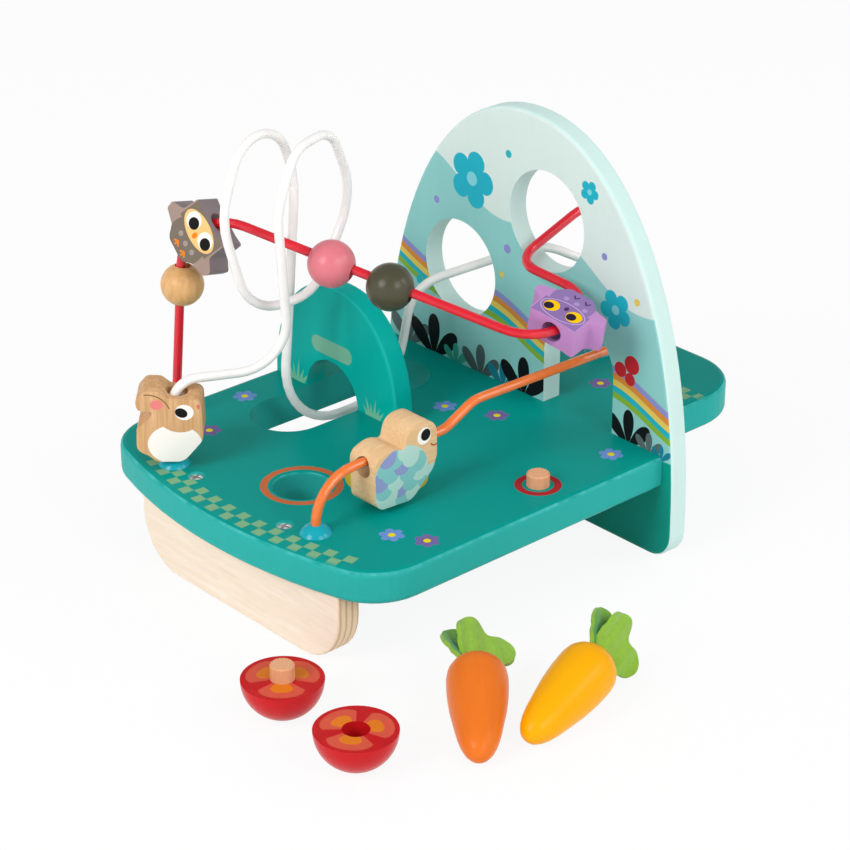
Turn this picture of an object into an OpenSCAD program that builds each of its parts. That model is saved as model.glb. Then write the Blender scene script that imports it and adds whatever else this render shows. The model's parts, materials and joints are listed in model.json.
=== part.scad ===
// Wooden bead maze: a board on an arched panel and a front foot, three bent wires
// with sliding beads and animals, and four loose vegetables.
// Origin: middle of the arched panel's sole. X runs along the panel, Y to the rear, Z up.

/* [Base board] */
// Width of the base board in front of the panel
base_w = 218; // [190:1:250]
// Distance from the panel's middle to the front edge
base_front = 220; // [205:1:250]
// Thickness of the base board
base_t = 18; // [14:0.5:24]
// Height of the board's underside above the floor
base_h = 42; // [34:1:60]
// How far the board lies to the left of the panel's middle
base_shift = 5; // [0:0.5:8]
// Radius of the bow of the front edge
base_bow = 300; // [240:5:500]
// Radius of the front corners
base_corner = 32; // [20:1:40]
// Width of the tongue behind the panel
tongue_w = 142; // [124:1:170]
// Length of the tongue behind the panel's middle
tongue_len = 102; // [92:1:130]
// Radius of the tongue's corners
tongue_corner = 37; // [20:1:50]
// Round-over of the board's edges
base_edge = 3; // [1:0.5:4]

/* [Arched panel] */
// Width of the panel
panel_w = 224; // [200:1:260]
// Height of the panel
panel_h = 221.5; // [205:0.5:250]
// Thickness of the panel
panel_t = 12; // [9:0.5:16]
// Height at which the sides start to curve in
panel_side = 23; // [18:1:40]
// Fullness of the arch, 2 is an ellipse
panel_power = 2.12; // [2:0.02:2.4]
// Radius of the panel's lower corners
panel_corner = 15; // [8:1:18]
// Round-over of the panel's edges
panel_edge = 2; // [1:0.5:3]
// Diameter of the two round windows
window_d = 55.6; // [50:0.2:60]
// Left window, across
window_a_x = -50.8; // [-56:0.2:-46]
// Left window, height
window_a_z = 117.5; // [112:0.5:123]
// Right window, across
window_b_x = 15.2; // [10:0.2:20]
// Right window, height
window_b_z = 164.6; // [160:0.2:168]
// Width of the doorway
door_w = 51.5; // [46:0.5:56]
// Middle of the doorway, across
door_x = 41.4; // [38:0.2:44]
// Height of the doorway above the board
door_h = 57; // [50:1:62]

/* [Front foot] */
// Width of the front foot
foot_w = 157; // [130:1:180]
// Thickness of the front foot
foot_t = 14; // [10:0.5:18]
// Distance from the board's front edge to the foot's front face
foot_inset = 13.7; // [10:0.1:18]
// Radius of the foot's lower corners
foot_corner = 28; // [15:1:32]
// Head diameter of the foot screws
screw_head = 9; // [7:0.5:11]
// Shank diameter of the foot screws
screw_d = 4; // [3:0.5:5]
// Length of the foot screws
screw_len = 35; // [28:1:45]
// Distance between the foot screws
screw_gap = 71; // [50:1:90]

/* [Bridge] */
// Width of the bridge
bridge_w = 100; // [86:1:106]
// Height of the bridge above the board
bridge_h = 64.5; // [56:0.5:72]
// Thickness of the bridge
bridge_t = 13; // [10:0.5:18]
// Fullness of the bridge's arch
bridge_power = 2.2; // [2:0.02:2.5]
// Distance from the panel's middle to the bridge's middle
bridge_y = 80.5; // [72:0.5:90]
// Width of the slot in the board and of the bridge's opening
slot_w = 42.5; // [36:0.5:50]
// Length of the slot
slot_len = 116; // [104:1:124]
// Distance from the board's left edge to the slot's middle
slot_x = 49; // [44:0.5:56]

/* [Board holes] */
// Diameter of the two carrot holes
hole_d = 29.4; // [24:0.2:34]
// Left carrot hole, across
hole_a_x = 3; // [-2:0.5:8]
// Left carrot hole, from the front edge
hole_a_y = 55; // [50:0.5:60]
// Right carrot hole, across
hole_b_x = 25; // [20:0.5:30]
// Right carrot hole, from the front edge
hole_b_y = 93; // [88:0.5:98]
// Round-over of the carrot holes' upper rims
hole_edge = 1.5; // [0.5:0.1:2.5]
// Diameter of the base peg
peg_d = 12; // [10:0.2:14]
// Height of the base peg above the board
peg_h = 7; // [5:0.5:12]
// Depth of the peg in the board
peg_sunk = 8; // [5:0.5:10]
// Step from the peg down to its tenon
peg_step = 1.5; // [1:0.1:2]
// Distance from the board's right edge to the peg
peg_x = 21; // [16:0.5:26]
// Distance from the panel's middle to the peg
peg_y = 75.5; // [65:0.5:85]

/* [Wires] */
// Diameter of the three wires
wire_d = 5; // [4:0.1:5.6]
// Depth of the wire ends in the board
wire_sunk = 12; // [8:0.5:13]
// Diameter of the collars
collar_d = 16.5; // [13:0.5:19]
// Height of the collars
collar_h = 5; // [4:0.5:7]
// Height of the red run's corner above the board
red_rise = 121; // [117:1:124]
// Height of the turtle's run above the board
orange_rise = 28; // [26:0.5:32]

/* [Beads] */
// Diameter of the pink bead
pink_d = 25; // [22:0.5:26]
// Diameter of the olive bead
olive_d = 25; // [22:0.5:26]
// Diameter of the plain bead
natural_d = 23; // [20:0.5:24]
// Bore of the beads
bead_bore = 8.5; // [7.5:0.1:9.5]
// Place of the pink bead along the red run
pink_at = 85; // [80:1:88]
// Place of the olive bead along the red run
olive_at = 118; // [115:1:125]
// Height of the plain bead above the board
natural_at = 75; // [65:1:78]

/* [Animals] */
// Thickness of the owls
owl_t = 17; // [14:0.5:20]
// Bore of the owls
owl_bore = 11.4; // [11:0.1:12.6]
// Turn of the grey owl on its wire
grey_turn = 19; // [0:1:40]
// Turn of the purple owl on its wire
purple_turn = 14; // [0:1:25]
// Thickness of the turtle
turtle_t = 19; // [17:0.5:22]
// Bore of the turtle
turtle_bore = 11; // [10:0.1:12]
// Thickness of the rabbit
rabbit_t = 20; // [18:0.5:23]
// Bore of the rabbit
rabbit_bore = 11.6; // [11.2:0.1:12]

/* [Vegetables] */
// Diameter of the tomato
tomato_d = 40.6; // [36:0.2:44]
// Diameter of the tomato's dowel
dowel_d = 12; // [10:0.2:13]
// Height of the dowel above the cut face
dowel_h = 8; // [6:0.5:10]
// Depth of the dowel in its half
dowel_sunk = 8; // [6:0.5:10]
// Diameter of the hole in the other half
socket_d = 13.5; // [13.2:0.1:15]
// Depth of that hole
socket_depth = 10; // [10:0.5:13]
// Largest diameter of the carrots
carrot_d = 29.6; // [26:0.2:32]
// Diameter of the carrots' tips
carrot_tip = 15; // [12:0.5:18]
// Length of the carrots
carrot_len = 69; // [62:1:80]
// Thickness of the felt leaves
felt_t = 3; // [2:0.2:4]
// Length of the felt leaves
felt_len = 25; // [20:0.5:30]
// Distance between the two lobes of a leaf
felt_lobes = 18; // [15:0.5:22]
// Diameter of a lobe
felt_lobe_d = 13; // [11:0.5:15]
// Angle between the two leaves
felt_spread = 44; // [30:1:60]

/* [Hidden] */
$fn = 64;
// sides of a wire and degrees between its rings in a bend
wire_sides = 16;
bend_step = 10;
// clearance of fixed pieces in their seats
fit = 0.1;
// clearance of sliding pieces on the wires
slide_gap = 0.3;
base_top = base_h + base_t;
base_left = -base_shift - base_w / 2;
base_right = -base_shift + base_w / 2;
panel_front = -panel_t / 2;
wire_r = wire_d / 2;
slot_mid = base_left + slot_x;
slot_front = -bridge_y - slot_len / 2;
slot_rear = -bridge_y + slot_len / 2;
foot_front = foot_inset - base_front;
foot_mid = foot_front + foot_t / 2;
screw_y = foot_mid + 1;
screw_mid = -base_shift - 1;

// wire feet on the board
white_foot = [-60, 22 - base_front];
red_foot = [base_left + 10, 58 - base_front];
orange_foot = [door_x + 4.6, 28 - base_front];
white_end = [-10, 62];
red_end = [22, 80];
orange_end = [door_x + 4.6, 52];
low = base_top - wire_sunk;

// routes: corner points with the bend radius at each corner
white_route = [
    [white_foot[0], white_foot[1], low, 0],
    [white_foot[0], white_foot[1], base_top + 47, 13],
    [-41, -135, base_top + 42, 24],
    [-35, -146, base_top + 133, 30],
    [-39, -130, base_top + 161, 17],
    [-45, -102, base_top + 163, 17],
    [-51, -82, base_top + 122, 40],
    [-54, -107, base_top + 71, 22],
    [-57, -148, base_top + 70, 26],
    [-58, -164, base_top + 126, 40],
    [-60, -151, base_top + 156, 19],
    [-62, -127, base_top + 175, 19],
    [-64, -110, base_top + 135, 60],
    [slot_mid, -bridge_y - 41.5, base_top - 11, 37],
    [slot_mid, -bridge_y + 38.5, base_top - 11, 37],
    [window_a_x - 12, -30, window_a_z - 7.5, 26],
    [window_a_x + 27, 29, window_a_z + 13, 30],
    [white_end[0], white_end[1], base_top + 52, 24],
    [white_end[0], white_end[1], low, 0]
];
red_route = [
    [red_foot[0], red_foot[1], low, 0],
    [red_foot[0], red_foot[1], base_top + 14, 60],
    [red_foot[0] + 3, red_foot[1] + 7, base_top + red_rise, 29],
    [window_b_x + 53, -64, base_top + 71, 29],
    [window_b_x + 53, -16, base_top + 79, 29],
    [window_b_x - 12, -16, window_b_z - 23.5, 14],
    [window_b_x - 13, 48, window_b_z - 1.5, 25],
    [red_end[0], red_end[1], base_top + 35, 24],
    [red_end[0], red_end[1], low, 0]
];
orange_route = [
    [orange_foot[0], orange_foot[1], low, 0],
    [orange_foot[0], orange_foot[1], base_top + orange_rise, 24],
    [orange_foot[0], -106, base_top + orange_rise, 18],
    [orange_foot[0], -86, base_top + orange_rise + 10, 18],
    [orange_end[0], orange_end[1], base_top + orange_rise + 7, 24],
    [orange_end[0], orange_end[1], low, 0]
];
feet = [white_foot, red_foot, orange_foot, white_end, red_end, orange_end];

function unit(v) = v / norm(v);
// rotation angles that carry the axes onto three given directions
function turned(ex, ey, ez) = [atan2(ey[2], ez[2]), -asin(ex[2]), atan2(ex[1], ex[0])];
function place(P, i) = [P[i][0], P[i][1], P[i][2]];
function back(P, i) = unit(place(P, i - 1) - place(P, i));
function ahead(P, i) = unit(place(P, i + 1) - place(P, i));
function bent(P, i) = 180 - acos(back(P, i) * ahead(P, i));
function inner(P, i) = i > 0 && i < len(P) - 1;
function reach(P, i) = inner(P, i) ? P[i][3] * tan(bent(P, i) / 2) : 0;
function bend_in(P, i) = place(P, i) + back(P, i) * reach(P, i);
function bend_out(P, i) = place(P, i) + ahead(P, i) * reach(P, i);
function bend_mid(P, i) =
    place(P, i) + unit(back(P, i) + ahead(P, i)) * P[i][3] / cos(bent(P, i) / 2);
function bend_axis(P, i) = unit(cross(ahead(P, i), back(P, i)));
function bend_at(P, i, a) =
    bend_mid(P, i)
    + (sin(bent(P, i) - a) * (bend_in(P, i) - bend_mid(P, i))
       + sin(a) * (bend_out(P, i) - bend_mid(P, i))) / sin(bent(P, i));
function bend_to(P, i, a) = unit((cos(a) * (bend_out(P, i) - bend_mid(P, i))
    - cos(bent(P, i) - a) * (bend_in(P, i) - bend_mid(P, i))) / sin(bent(P, i)));
// stations along a whole route, each with its point and its heading
function stations(P) = concat([[place(P, 0), ahead(P, 0)]], [for (i = [1 : len(P) - 2])
    let(n = ceil(bent(P, i) / bend_step))
    each [for (k = [0 : n]) let(a = bent(P, i) * k / n) [bend_at(P, i, a), bend_to(P, i, a)]]],
    [[place(P, len(P) - 1), -back(P, len(P) - 1)]]);
function trace(P) = [for (s = stations(P)) s[0]];
function square_to(v, t) = unit(v - t * (v * t));
function fine(Q) = [for (i = [0 : len(Q) - 2])
    let(n = ceil(norm(Q[i + 1] - Q[i]) / 4))
    each [for (k = [0 : n - 1]) Q[i] + (Q[i + 1] - Q[i]) * k / n]];
function self_gap(Q, far) = min([for (i = [0 : len(Q) - 1 - far])
    min([for (j = [i + far : len(Q) - 1]) norm(Q[i] - Q[j])])]) - wire_d;

// outline of corner points with radii, as a closed list of points
function rounded(P, n = 6) = [for (i = [0 : len(P) - 1])
    let(a = P[(i + len(P) - 1) % len(P)], b = P[i], c = P[(i + 1) % len(P)],
        p = [b[0], b[1]], u = unit([a[0], a[1]] - p), w = unit([c[0], c[1]] - p),
        s = 180 - acos(u * w), t = b[2] * tan(s / 2),
        m = p + unit(u + w) * b[2] / cos(s / 2))
    each b[2] == 0 ? [p] : [for (k = [0 : n])
        m + (sin(s - s * k / n) * (p + u * t - m) + sin(s * k / n) * (p + w * t - m)) / sin(s)]];

function arch(half, rise, power, from, n) = [for (k = [0 : n]) let(a = 180 * k / n)
    [half * sign(cos(a)) * pow(abs(cos(a)), 2 / power), from + rise * pow(sin(a), 2 / power)]];
function arc(x, y, r, a, b, n) = [for (k = [0 : n]) let(t = a + (b - a) * k / n)
    [x + r * cos(t), y + r * sin(t)]];

bow_y = base_bow - base_front;
corner_x = base_w / 2 - base_corner;
corner_y = bow_y - sqrt(pow(base_bow - base_corner, 2) - pow(corner_x, 2));
corner_a = atan2(corner_y - bow_y, corner_x);
function board_edge(d) = [for (p = concat(
    [[-base_w / 2 + d, panel_front - fit]],
    arc(-corner_x, corner_y, base_corner - d, 180, 360 - 180 - corner_a, 8),
    arc(0, bow_y, base_bow - d, -180 - corner_a, corner_a, 12),
    arc(corner_x, corner_y, base_corner - d, corner_a, 0, 8),
    [[base_w / 2 - d, panel_front - fit]])) p - [base_shift, 0]];
tongue_x = tongue_w / 2 - tongue_corner;
tongue_y = tongue_len - tongue_corner;
function tongue_edge(d) = concat(
    [[-tongue_w / 2 + d, panel_front * 3], [tongue_w / 2 - d, panel_front * 3]],
    arc(tongue_x, tongue_y, tongue_corner - d, 0, 90, 10),
    arc(-tongue_x, tongue_y, tongue_corner - d, 90, 180, 10));
panel_foot = panel_w / 2 - panel_corner;
function panel_edge_at(d) = concat(
    arch(panel_w / 2 - d, panel_h - panel_side - d, panel_power, panel_side, 60),
    arc(-panel_foot, panel_corner, panel_corner - d, 180, 270, 6),
    arc(panel_foot, panel_corner, panel_corner - d, 270, 360, 6));
function bridge_edge_at(d) = arch(bridge_w / 2 - d, bridge_h - d, bridge_power, 0, 44);
foot_half = foot_w / 2;
function foot_edge_at(d) = concat(
    [[foot_half - d, base_h - fit], [-foot_half + d, base_h - fit]],
    arc(foot_corner - foot_half, foot_corner, foot_corner - d, 180, 270, 8),
    arc(foot_half - foot_corner, foot_corner, foot_corner - d, 270, 360, 8));

// closed skin over a row of rings
module skin(rings) {
    n = len(rings[0]);
    m = len(rings);
    polyhedron(
        points = [for (r = rings) each r],
        faces = concat(
            [[for (i = [0 : n - 1]) i]],
            [[for (i = [0 : n - 1]) m * n - 1 - i]],
            [for (j = [0 : m - 2]) for (i = [0 : n - 1])
                [j * n + i, (j + 1) * n + i, (j + 1) * n + (i + 1) % n]],
            [for (j = [0 : m - 2]) for (i = [0 : n - 1])
                [j * n + i, (j + 1) * n + (i + 1) % n, j * n + (i + 1) % n]]));
}
// solid between outlines stacked on one another
module loft(layers, heights) {
    skin([for (j = [0 : len(layers) - 1]) [for (p = layers[j]) [p[0], p[1], heights[j]]]]);
}
ease = [0, 35, 65, 90];
function ease_in(r) = concat([for (a = ease) r - r * sin(a)],
    [for (a = [90, 65, 35, 0]) r - r * sin(a)]);
function ease_up(r, t) = concat([for (a = ease) r - r * cos(a)],
    [for (a = [90, 65, 35, 0]) t - r + r * cos(a)]);

// cylinder from one point to another
module rod(a, b, d) {
    v = unit(b - a);
    translate(a)
        rotate([0, acos(v[2]), atan2(v[1], v[0])])
            cylinder(d = d, h = norm(b - a));
}
// one unbroken tube swept along a route
module wire(P) {
    S = stations(P);
    N = [for (i = 0, v = [0, 1, 0]; i < len(S); i = i + 1, v = square_to(v, S[min(i, len(S) - 1)][1])) v];
    skin([for (i = [0 : len(S) - 1])
        let(v = square_to(N[i], S[i][1]), w = cross(S[i][1], v))
        [for (k = [0 : wire_sides - 1]) let(a = 360 * k / wire_sides)
            S[i][0] + (v * cos(a) + w * sin(a)) * wire_r]]);
}
module collar(at) {
    dome_r = (pow(collar_d / 2, 2) + pow(collar_h, 2)) / (2 * collar_h);
    translate([at[0], at[1], base_top])
        rotate_extrude()
            difference() {
                intersection() {
                    translate([0, collar_h - dome_r])
                        circle(r = dome_r);
                    square([collar_d / 2, collar_h]);
                }
                square([wire_r + fit, collar_h * 3], center = false);
            }
}
module foot_screw(grow) {
    rotate_extrude()
        polygon([[0, grow], [screw_head / 2 + grow, grow], [screw_head / 2 + grow, -0.5 - grow],
            [screw_d / 2 + grow, -0.5 - grow - (screw_head - screw_d) / 2],
            [screw_d / 2 + grow, -screw_len - grow], [0, -screw_len - grow]]);
}
module at_screws() {
    for (s = [-1, 1])
        translate([screw_mid + s * screw_gap / 2, screw_y, base_top])
            children();
}

// cutter for a hole's rounded rim, from its top face down
module hole_rim() {
    rotate_extrude()
        polygon(concat([[0, 1], [0, -hole_edge]], [for (a = [180 : -30 : 90])
            [hole_d / 2 + hole_edge + hole_edge * cos(a), hole_edge * sin(a) - hole_edge]],
            [[hole_d / 2 + hole_edge, 1]]));
}
module base_board() {
    color("teal")
        difference() {
            union() {
                translate([0, 0, base_h])
                    loft([for (d = ease_in(base_edge)) board_edge(d)], ease_up(base_edge, base_t));
                translate([0, 0, base_h])
                    loft([for (d = ease_in(base_edge)) tongue_edge(d)], ease_up(base_edge, base_t));
            }
            for (y = [slot_front + slot_w / 2, slot_rear - slot_w / 2])
                translate([slot_mid, y, base_h - 1])
                    cylinder(d = slot_w, h = base_t + 2);
            translate([slot_mid - slot_w / 2, slot_front + slot_w / 2, base_h - 1])
                cube([slot_w, slot_len - slot_w, base_t + 2]);
            for (p = [[hole_a_x, hole_a_y], [hole_b_x, hole_b_y]])
                translate([p[0], p[1] - base_front, base_h - 1]) {
                    cylinder(d = hole_d, h = base_t + 2);
                    translate([0, 0, base_t + 1])
                        hole_rim();
                }
            translate([base_right - peg_x, -peg_y, base_top - peg_sunk - fit])
                cylinder(d = peg_d - 2 * peg_step + 2 * fit, h = peg_sunk + 1);
            for (p = feet)
                translate([p[0], p[1], low - fit])
                    cylinder(d = wire_d + 2 * fit, h = wire_sunk + 1);
            at_screws()
                foot_screw(fit);
        }
}
module arch_panel() {
    color("lightblue")
        difference() {
            translate([0, panel_t / 2, 0])
                rotate([90, 0, 0])
                    loft([for (d = ease_in(panel_edge)) panel_edge_at(d)], ease_up(panel_edge, panel_t));
            translate([-tongue_w / 2 - fit, -panel_t, base_h - fit])
                cube([tongue_w + 2 * fit, panel_t * 2, base_t + 2 * fit]);
            translate([door_x - door_w / 2, -panel_t, base_h + base_t / 2])
                cube([door_w, panel_t * 2, door_h - door_w / 2 + base_t / 2]);
            translate([door_x, panel_t, base_top + door_h - door_w / 2])
                rotate([90, 0, 0])
                    cylinder(d = door_w, h = panel_t * 2);
            for (p = [[window_a_x, window_a_z], [window_b_x, window_b_z]])
                translate([p[0], panel_t, p[1]])
                    rotate([90, 0, 0])
                        cylinder(d = window_d, h = panel_t * 2);
        }
}
module front_foot() {
    color("moccasin")
        difference() {
            translate([-base_shift + 5.5, foot_front + foot_t, 0])
                rotate([90, 0, 0])
                    loft([for (d = ease_in(1.5)) foot_edge_at(d)], ease_up(1.5, foot_t));
            at_screws()
                foot_screw(fit);
        }
}
module foot_screws() {
    color("silver")
        at_screws()
            foot_screw(0);
}
module bridge_arch() {
    color("teal")
        difference() {
            translate([slot_mid + 2, -bridge_y + bridge_t / 2, base_top])
                rotate([90, 0, 0])
                    loft([for (d = ease_in(2)) bridge_edge_at(d)], ease_up(2, bridge_t));
            translate([slot_mid, -bridge_y + bridge_t, base_top])
                rotate([90, 0, 0])
                    cylinder(d = slot_w, h = bridge_t * 2);
        }
}
module base_peg() {
    color("burlywood")
        translate([base_right - peg_x, -peg_y, base_top - peg_sunk])
            rotate_extrude()
                polygon([[0, 0], [peg_d / 2 - peg_step, 0], [peg_d / 2 - peg_step, peg_sunk],
                    [peg_d / 2, peg_sunk], [peg_d / 2, peg_sunk + peg_h - 0.8],
                    [peg_d / 2 - 0.8, peg_sunk + peg_h], [0, peg_sunk + peg_h]]);
}
module white_wire() {
    color("white")
        wire(white_route);
}
module red_wire() {
    color("red")
        wire(red_route);
}
module orange_wire() {
    color("orange")
        wire(orange_route);
}
module white_collar() {
    color("darkturquoise")
        collar(white_foot);
}
module red_collar() {
    color("darkturquoise")
        collar(red_foot);
}
module orange_collar() {
    color("darkturquoise")
        collar(orange_foot);
}
module white_rear_collar() {
    color("darkturquoise")
        collar(white_end);
}
module red_rear_collar() {
    color("darkturquoise")
        collar(red_end);
}
module orange_rear_collar() {
    color("darkturquoise")
        collar(orange_end);
}

// beads hang on their wire with the wire against one side of the bore
bead_drop = bead_bore / 2 - wire_r - slide_gap;
run_dir = ahead(red_route, 2);
run_down = unit(cross(cross(run_dir, [0, 0, -1]), run_dir));
pink_mid = place(red_route, 2) + run_dir * pink_at + run_down * bead_drop;
olive_mid = place(red_route, 2) + run_dir * olive_at + run_down * bead_drop;
post_dir = ahead(red_route, 1);
post_side = unit(cross(post_dir, [1, 0, 0]));
natural_mid = place(red_route, 1) + post_dir * (natural_at - 14) / post_dir[2] + post_side * bead_drop;
module bead(mid, dir, d) {
    difference() {
        translate(mid)
            sphere(d = d);
        rod(mid - dir * d, mid + dir * d, bead_bore);
    }
}
module natural_bead() {
    color("burlywood")
        bead(natural_mid, post_dir, natural_d);
}
module pink_bead() {
    color("pink")
        bead(pink_mid, run_dir, pink_d);
}
module olive_bead() {
    color("olive")
        bead(olive_mid, run_dir, olive_d);
}

// owl cut-out: X across, Y along the bore towards the ears, face at +Z
owl_half = 13;
owl_side = [[14.3, owl_half + 0.8, 1.2], [14.8, 3, 3], [21.8, -0.8, 1.5], [20.5, -5.4, 1.5], [12, -7.6, 3],
    [7, -owl_half, 5]];
owl_shape = concat([[8, owl_half, 3], [-8, owl_half, 3]], [for (p = owl_side) [-p[0], p[1], p[2]]],
    [for (i = [5 : -1 : 0]) owl_side[i]]);
module owl() {
    difference() {
        translate([0, 0, -owl_t / 2])
            linear_extrude(owl_t)
                polygon(rounded(owl_shape));
        rotate([90, 0, 0])
            cylinder(d = owl_bore, h = 80, center = true);
    }
}
// bore axis set in from the bend so that the wire lies against the bore's outer side
owl_inset = owl_bore / 2 - wire_r - slide_gap;
grey_i = 2;
grey_a = bent(red_route, grey_i) / 2 - 4;
grey_out = unit(bend_at(red_route, grey_i, grey_a) - bend_mid(red_route, grey_i));
grey_along = cross(bend_axis(red_route, grey_i), grey_out);
grey_mid = bend_at(red_route, grey_i, grey_a) - grey_out * owl_inset;
purple_i = 4;
purple_a = 10;
purple_out = unit(bend_at(red_route, purple_i, purple_a) - bend_mid(red_route, purple_i));
purple_along = cross(bend_axis(red_route, purple_i), purple_out);
purple_mid = bend_at(red_route, purple_i, purple_a) - purple_out * owl_inset;
module on_bend(mid, out, along, turn) {
    translate(mid)
        rotate(turned(cross(along, out), along, out))
            rotate([0, 90 - turn, 0])
                children();
}
module grey_owl() {
    color("dimgray")
        on_bend(grey_mid, grey_out, grey_along, grey_turn)
            owl();
}
module purple_owl() {
    color("plum")
        on_bend(purple_mid, purple_out, -purple_along, purple_turn)
            owl();
}

// turtle cut-out: X towards the head, Y up, face at +Z, bore along X at Y = 0
turtle_shape = [[-19.5, -21.5, 6], [4, -23, 9], [18.5, -10, 8], [21, -3, 5], [21, 18, 8.8],
    [2.5, 18, 8], [-0.5, 6.5, 2], [-9, 9.5, 12], [-20.5, 6, 6]];
turtle_drop = turtle_bore / 2 - wire_r - slide_gap;
turtle_y = 32 - 173;
turtle_mid = [orange_foot[0], turtle_y, base_top + orange_rise - turtle_drop];
module turtle() {
    color("wheat")
        translate(turtle_mid)
            rotate([90, 0, 90])
                difference() {
                    translate([0, 0, -turtle_t / 2])
                        linear_extrude(turtle_t)
                            polygon(rounded(turtle_shape));
                    rotate([0, 90, 0])
                        cylinder(d = turtle_bore, h = 80, center = true);
                }
}

// rabbit cut-out: X across, Y up, face at +Z, bore along Y at X = 0
rabbit_low = -18.5;
rabbit_shape = [[13, 16.5, 4], [-3.5, 17.2, 3], [-8.5, 21.2, 3.5], [-16, 21.5, 4], [-20.5, 16, 3],
    [-20, 10.4, 3], [-12.5, 9.8, 0.7], [-12.5, 8.2, 0.7], [-20.3, 5, 4], [-20.8, -12, 5], [-15, -15, 2],
    [-10.5, rabbit_low, 4], [3, rabbit_low, 8], [13.5, -6, 8], [13.2, 5, 12]];
white_aim = ahead(white_route, 1);
rabbit_back = unit([white_aim[0], white_aim[1], 0]);
rabbit_shift = rabbit_bore / 2 - wire_r - slide_gap;
rabbit_mid = [white_foot[0] + rabbit_back[0] * rabbit_shift, white_foot[1] + rabbit_back[1] * rabbit_shift,
    base_top + collar_h + slide_gap - rabbit_low];
module rabbit() {
    color("tan")
        translate(rabbit_mid)
            rotate([90, 0, 48])
                difference() {
                    translate([0, 0, -rabbit_t / 2])
                        linear_extrude(rabbit_t)
                            polygon(rounded(rabbit_shape));
                    rotate([90, 0, 0])
                        cylinder(d = rabbit_bore, h = 80, center = true);
                }
}

// vegetables on the floor in front
tomato_a = [89.7, -250.4];
tomato_b = [146.9, -253.7];
tomato_r = tomato_d / 2;
module tomato_half(depth, bore) {
    rotate_extrude()
        difference() {
            translate([0, tomato_r])
                intersection() {
                    circle(r = tomato_r);
                    translate([0, -tomato_r])
                        square([tomato_r, tomato_r]);
                }
            translate([0, tomato_r - depth])
                square([bore / 2, depth + 1]);
        }
}
module tomato_peg_half() {
    color("firebrick")
        translate(tomato_a)
            tomato_half(dowel_sunk + fit, dowel_d + 2 * fit);
}
module tomato_dowel() {
    color("burlywood")
        translate([tomato_a[0], tomato_a[1], tomato_r - dowel_sunk])
            rotate_extrude()
                polygon([[0, 0], [dowel_d / 2, 0], [dowel_d / 2, dowel_sunk + dowel_h - 0.8],
                    [dowel_d / 2 - 0.8, dowel_sunk + dowel_h], [0, dowel_sunk + dowel_h]]);
}
module tomato_hole_half() {
    color("firebrick")
        translate(tomato_b)
            tomato_half(socket_depth, socket_d);
}

// a carrot lies on the straight lower side of its taper
carrot_r = carrot_d / 2;
crown_r = 13;
carrot_full = carrot_len * 0.4;
carrot_tilt = atan((carrot_r - carrot_tip / 2) / (carrot_len - carrot_full));
carrot_rise = (carrot_r + carrot_full * tan(carrot_tilt)) * cos(carrot_tilt);
function carrot_shape(grow) = rounded([[0, -grow, 0], [carrot_r + 0.3 + grow, -grow, crown_r],
    [carrot_r + grow, carrot_full, 40], [carrot_tip / 2 + grow, carrot_len + grow, 6.8],
    [0, carrot_len + grow, 0]], 10);
module carrot(grow) {
    rotate_extrude()
        polygon(carrot_shape(grow));
}
module heart() {
    linear_extrude(felt_t, center = true)
        union() {
            for (s = [-1, 1])
                translate([s * felt_lobes / 2, felt_len - felt_lobe_d / 2])
                    circle(d = felt_lobe_d);
            polygon([[0, felt_len - felt_lobe_d * 0.6], [-felt_lobes / 2 + 1, felt_len - 0.6],
                [-felt_lobes / 2 - felt_lobe_d / 2 + 1, felt_len - felt_lobe_d + 1.5], [-3, -2], [3, -2],
                [felt_lobes / 2 + felt_lobe_d / 2 - 1, felt_len - felt_lobe_d + 1.5],
                [felt_lobes / 2 - 1, felt_len - 0.6]]);
        }
}
module leaves(roll) {
    difference() {
        rotate([0, 0, roll])
            for (s = [-1, 1])
                rotate([-90 + s * felt_spread / 2, 0, 0])
                    heart();
        carrot(slide_gap);
    }
}
// crown end at the origin of the children, tip away along the given heading
module lying(at, heading) {
    translate([at[0], at[1], carrot_rise - crown_r * sin(carrot_tilt)])
        rotate([0, 90 + carrot_tilt, heading])
            translate([0, 0, -crown_r])
                children();
}
carrot_a = [150, -180];
carrot_b = [179, -136];
module carrot_orange() {
    color("darkorange")
        lying(carrot_a, -42)
            carrot(0);
}
module carrot_orange_leaves() {
    color("yellowgreen")
        lying(carrot_a, -42)
            leaves(60);
}
module carrot_yellow() {
    color("gold")
        lying(carrot_b, -76)
            carrot(0);
}
module carrot_yellow_leaves() {
    color("yellowgreen")
        lying(carrot_b, -76)
            leaves(20);
}

echo(white_self_gap = self_gap(fine(trace(white_route)), 12));
echo(grey_pivot = bend_mid(red_route, grey_i), grey_axis = bend_axis(red_route, grey_i));
echo(purple_pivot = bend_mid(red_route, purple_i), purple_axis = bend_axis(red_route, purple_i));
echo(run_dir = run_dir, post_dir = post_dir, pink = pink_mid, olive = olive_mid, natural = natural_mid);
echo(rabbit = rabbit_mid, turtle = turtle_mid, grey = grey_mid, purple = purple_mid);
echo(base_right = base_right, base_top = base_top, carrot_rise = carrot_rise);

base_board();
arch_panel();
front_foot();
foot_screws();
bridge_arch();
base_peg();
white_wire();
red_wire();
orange_wire();
white_collar();
red_collar();
orange_collar();
white_rear_collar();
red_rear_collar();
orange_rear_collar();
natural_bead();
pink_bead();
olive_bead();
grey_owl();
purple_owl();
turtle();
rabbit();
tomato_peg_half();
tomato_dowel();
tomato_hole_half();
carrot_orange();
carrot_orange_leaves();
carrot_yellow();
carrot_yellow_leaves();
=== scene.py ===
import bmesh
import bpy
import json
import math
from mathutils import Euler, Matrix, Vector


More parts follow.
